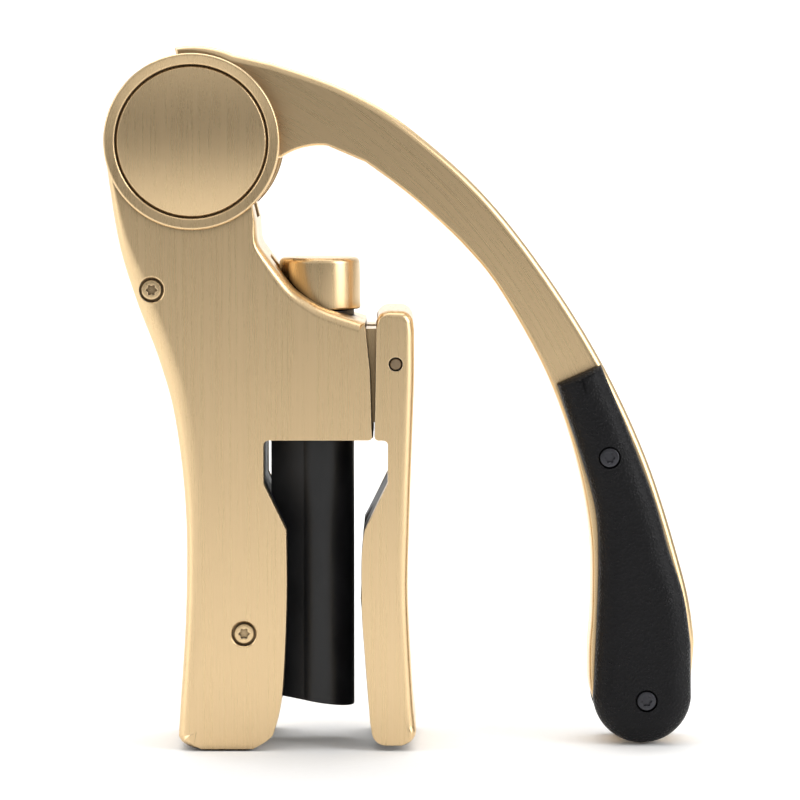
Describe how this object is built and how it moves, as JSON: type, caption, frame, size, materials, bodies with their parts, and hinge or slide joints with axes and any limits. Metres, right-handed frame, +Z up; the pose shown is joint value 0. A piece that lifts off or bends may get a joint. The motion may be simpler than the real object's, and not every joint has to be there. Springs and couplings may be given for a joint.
{
  "type": "lever corkscrew",
  "caption": "Lever corkscrew: a curved lever with a dark grip turns gears in a two-shell body that lift a self-turning worm, while a hinged jaw closes on the bottle neck.",
  "frame": {"origin": "centre of the bounding box's footprint, on the plane the jaws and the lever tip stand on", "axes": "+Z up along the worm, +X from the head towards the lever tip, -Y is the front face"},
  "size_m": [0.1528, 0.045, 0.1818],
  "materials": {
    "satin_gold": "satin brushed, gold tone",
    "grip_black": "pebbled black cover",
    "black_rubber": "matt",
    "black_plastic": "satin",
    "bright_steel": "ground",
    "dark_steel": "blackened",
    "brass": "turned"
  },
  "bodies": {
    "body": {"front_shell": "satin_gold", "back_shell": "satin_gold", "head_ring_front": "satin_gold", "head_ring_back": "satin_gold", "head_cap_front": "satin_gold", "head_cap_back": "satin_gold", "lever_axle": "bright_steel", "hub_spacer_front": "bright_steel", "hub_spacer_back": "bright_steel", "idler_axle": "bright_steel", "pinion_axle": "bright_steel", "body_screw_upper": "satin_gold", "body_screw_lower": "satin_gold", "body_insert_upper": "brass", "body_insert_lower": "brass", "fixed_jaw_pad": "black_rubber", "tube_guide": "black_plastic", "jaw_pin": "bright_steel"},
    "lever": {"lever_arm": "satin_gold", "drive_gear": "bright_steel", "gear_rivet_1": "bright_steel", "gear_rivet_2": "bright_steel", "grip_front": "grip_black", "grip_back": "grip_black", "grip_screw_upper": "dark_steel", "grip_screw_lower": "dark_steel", "grip_nut_upper": "brass", "grip_nut_lower": "brass"},
    "idler": {"idler_gear": "brass"},
    "pinion": {"pinion_gear": "bright_steel"},
    "carriage": {"rack": "bright_steel", "worm_carrier": "brass", "rack_screw_1": "dark_steel", "rack_screw_2": "dark_steel"},
    "worm": {"worm": "bright_steel", "worm_collar": "dark_steel"},
    "sleeve": {"guide_tube": "black_plastic", "tube_knob": "satin_gold", "worm_nut": "brass"},
    "jaw": {"clamp_jaw": "satin_gold", "clamp_jaw_pad": "black_rubber", "jaw_spring": "bright_steel"}
  },
  "joints": [
    {"name": "lever_swing", "type": "hinge", "parent": "body", "child": "lever", "pos_m": [-0.05388, 0, 0.1571], "axis": [0, -1, 0], "range_deg": [0, 145]},
    {"name": "idler_turn", "type": "hinge", "parent": "body", "child": "idler", "pos_m": [-0.05185, 0, 0.12817], "axis": [0, -1, 0], "range_deg": [-238, 0]},
    {"name": "pinion_turn", "type": "hinge", "parent": "body", "child": "pinion", "pos_m": [-0.04193, 0, 0.1108], "axis": [0, -1, 0], "range_deg": [0, 291]},
    {"name": "carriage_slide", "type": "slide", "parent": "body", "child": "carriage", "axis": [0, 0, 1], "range_m": [0, 0.04565]},
    {"name": "sleeve_slide", "type": "slide", "parent": "carriage", "child": "sleeve", "axis": [0, 0, 1], "range_m": [0, 0.024]},
    {"name": "worm_turn", "type": "hinge", "parent": "carriage", "child": "worm", "pos_m": [-0.02158, 0, 0.1], "axis": [0, 0, 1], "range_deg": [-905, 0]},
    {"name": "clamp_swing", "type": "hinge", "parent": "body", "child": "jaw", "pos_m": [-0.00168, 0, 0.1], "axis": [0, -1, 0], "range_deg": [0, 11], "stiffness_Nm_per_rad": 0.5, "springref_deg": -5.73}
  ],
  "couplings": [
    {"joint": "idler_turn", "follows": "lever_swing", "ratio": -1.6364},
    {"joint": "pinion_turn", "follows": "lever_swing", "ratio": 2},
    {"joint": "carriage_slide", "follows": "lever_swing", "m_per_rad": 0.018},
    {"joint": "worm_turn", "follows": "sleeve_slide", "rad_per_m": -654.5}
  ]
}
